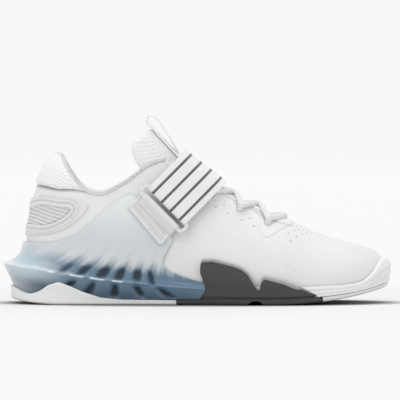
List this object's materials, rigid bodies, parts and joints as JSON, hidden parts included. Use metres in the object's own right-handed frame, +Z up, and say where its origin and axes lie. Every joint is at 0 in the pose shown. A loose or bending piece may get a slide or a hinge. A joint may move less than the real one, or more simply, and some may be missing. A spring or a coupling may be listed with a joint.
{
  "type": "weightlifting shoe",
  "caption": "Low lifting shoe for the right foot with a raised clear heel cup, hollow upper, padded collar, tongue, laces and a wide instep strap through a ring.",
  "frame": {"origin": "on the floor under the middle of the heel, 55 mm ahead of the heel's spur, where the heel tread is flat", "axes": "+X to the toe, +Y to the inner side of the right foot, +Z up from the floor"},
  "size_m": [0.299, 0.1056, 0.146],
  "materials": {
    "upper_skin": "smooth white synthetic leather with a fine grain",
    "knit": "pale grey knitted textile",
    "mesh": "fine grey mesh",
    "overlay": "moulded pale grey film",
    "clear_cup": "hazy clear moulding, pale above and blue-grey towards its ridge",
    "white_rubber": "matt white rubber",
    "dark_rubber": "matt dark grey rubber",
    "foam": "moulded white foam",
    "insole_cloth": "pale grey cloth",
    "webbing": "pale webbing with four dark dashed lines",
    "cord": "white woven lace and tape",
    "moulded_trim": "pale grey moulded plastic"
  },
  "bodies": {
    "root": {"upper": "upper_skin", "insole": "insole_cloth", "collar_lining": "knit", "heel_pad": "knit", "heel_counter": "overlay", "heel_window": "mesh", "heel_frame": "clear_cup", "forefoot_midsole": "foam", "heel_outsole": "white_rubber", "forefoot_outsole": "dark_rubber", "toe_outsole": "white_rubber", "tongue": "knit", "pull_loop": "cord", "lace": "cord", "eyestay_outer": "upper_skin", "eyestay_inner": "upper_skin", "strap": "webbing", "strap_ring": "moulded_trim", "strap_keeper": "moulded_trim"}
  },
  "joints": []
}
